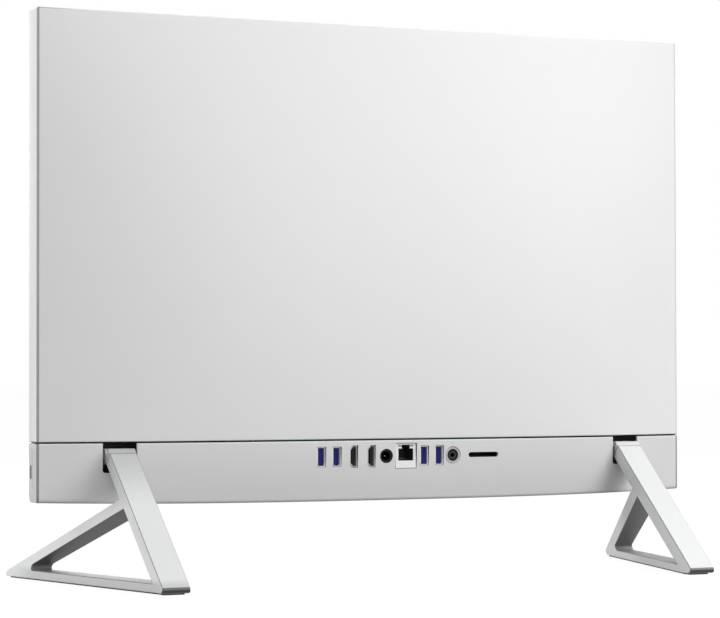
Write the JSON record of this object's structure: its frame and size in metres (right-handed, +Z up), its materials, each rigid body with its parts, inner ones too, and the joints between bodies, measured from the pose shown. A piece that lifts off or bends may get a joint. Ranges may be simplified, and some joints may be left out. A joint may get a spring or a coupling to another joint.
{
  "type": "all-in-one desktop computer",
  "caption": "All-in-one desktop computer: flat display body with a domed rear, a port row in its lower cover, and two splayed A-frame legs on tilt hinges.",
  "frame": {"origin": "on the desk under the middle of the overall box, midway between the legs and between their front tips and heels", "axes": "+Z up, the display looks along -Y, +X to the right of someone looking at the display's front"},
  "size_m": [0.54, 0.2132, 0.4195],
  "materials": {
    "aluminium_leg": "satin, silver white",
    "rubber_pad": "matt",
    "steel": "plated",
    "brass_trim": "plain",
    "white_cover": "satin moulded",
    "white_frame": "satin moulded",
    "front_glass": "gloss, black behind",
    "panel": "gloss",
    "backlight": "matt",
    "circuit_board": "solder mask",
    "usb_blue": "satin",
    "black_plastic": "satin",
    "grey_plastic": "satin",
    "copper": "bare",
    "bare_aluminium": "bare",
    "lens_glass": "gloss"
  },
  "bodies": {
    "right_stand": {"right_leg": "aluminium_leg", "right_hinge_arm": "aluminium_leg", "right_foot_pad": "rubber_pad"},
    "display": {"right_hinge_pin": "steel", "left_hinge_pin": "steel", "right_hinge_bracket": "steel", "left_hinge_bracket": "steel", "hinge_washers": "brass_trim", "back_cover": "white_cover", "io_cover": "white_cover", "mid_frame": "white_frame", "speaker_bar": "white_frame", "display_glass": "front_glass", "lcd_panel": "panel", "backlight_unit": "backlight", "chassis_plate": "steel", "chassis_screws": "steel", "motherboard": "circuit_board", "board_standoffs": "brass_trim", "board_screws": "steel", "port_bracket": "steel", "usb_shells": "steel", "usb_tongues": "usb_blue", "hdmi_shells": "steel", "hdmi_tongues": "black_plastic", "power_jack": "black_plastic", "power_jack_pin": "steel", "network_jack": "grey_plastic", "network_contacts": "brass_trim", "audio_jack": "grey_plastic", "card_reader": "black_plastic", "processor": "black_plastic", "cold_plate": "copper", "heat_pipe": "copper", "fin_stack": "bare_aluminium", "fan_housing": "black_plastic", "memory_sockets": "black_plastic", "memory_modules": "circuit_board", "ssd_module": "circuit_board", "wireless_card": "circuit_board", "coin_cell": "bare_aluminium", "drive_caddy": "steel", "hard_drive": "bare_aluminium", "right_speaker": "black_plastic", "left_speaker": "black_plastic", "antennas": "grey_plastic", "panel_board": "circuit_board", "display_cable": "grey_plastic", "webcam_guide": "grey_plastic", "switch_board": "circuit_board"},
    "left_stand": {"left_leg": "aluminium_leg", "left_hinge_arm": "aluminium_leg", "left_foot_pad": "rubber_pad"},
    "webcam": {"webcam_body": "white_frame", "webcam_lens": "lens_glass"},
    "button": {"power_button": "grey_plastic"},
    "fan": {"fan_rotor": "black_plastic"}
  },
  "joints": [
    {"name": "display_tilt", "type": "hinge", "parent": "right_stand", "child": "display", "pos_m": [0, -0.01607, 0.0921], "axis": [-1, 0, 0], "range_deg": [-5, 20]},
    {"name": "left_leg_tilt", "type": "hinge", "parent": "display", "child": "left_stand", "pos_m": [0, -0.01607, 0.0921], "axis": [-1, 0, 0], "range_deg": [-20, 5]},
    {"name": "webcam_slide", "type": "slide", "parent": "display", "child": "webcam", "axis": [0, 0, 1], "range_m": [0, 0.02]},
    {"name": "power_press", "type": "slide", "parent": "display", "child": "button", "axis": [-1, 0, 0], "range_m": [0, 0.0008], "stiffness_N_per_m": 900, "springref_m": -0.0006},
    {"name": "fan_spin", "type": "hinge", "parent": "display", "child": "fan", "pos_m": [0.001, -0.01908, 0.241], "axis": [0, 1, 0], "continuous": true}
  ],
  "couplings": [
    {"joint": "left_leg_tilt", "follows": "display_tilt", "ratio": -1}
  ]
}
